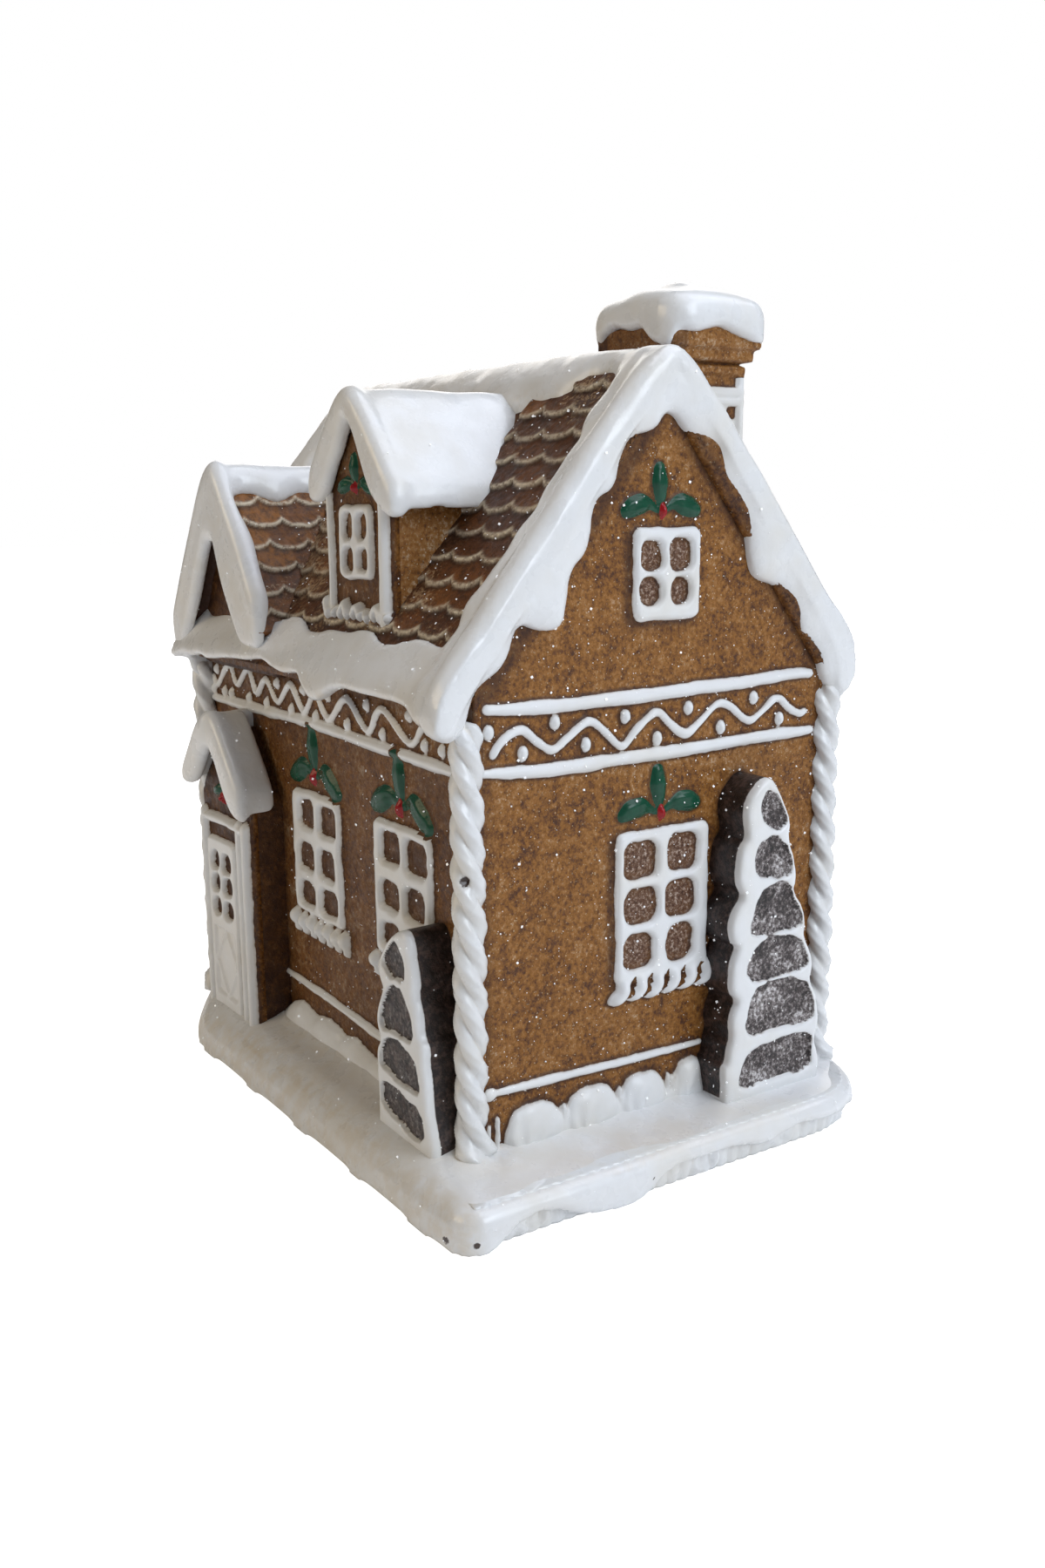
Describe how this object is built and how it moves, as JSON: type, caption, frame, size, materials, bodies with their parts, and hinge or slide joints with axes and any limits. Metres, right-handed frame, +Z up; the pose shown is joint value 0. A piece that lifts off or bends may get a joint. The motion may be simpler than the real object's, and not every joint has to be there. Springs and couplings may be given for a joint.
{
  "type": "gingerbread house figurine",
  "caption": "Small moulded resin gingerbread house with snow-capped roof, chimney, dormer and porch on a snow base.",
  "frame": {"origin": "on the ground, under the middle of the whole piece's bounding box", "axes": "+Z up; +X along the main ridge, towards the large front gable; -Y towards the porch side"},
  "size_m": [0.1112, 0.0852, 0.13],
  "materials": {
    "painted_resin_brown": "satin paint dusted with fine clear glitter",
    "painted_resin_white": "glossy white paint, like icing",
    "painted_resin_green": "glossy dark green paint",
    "painted_resin_red": "glossy red paint",
    "clear_glitter": "loose clear glitter stuck in the paint"
  },
  "bodies": {
    "root": {"house_casting": "painted_resin_brown"}
  },
  "joints": []
}
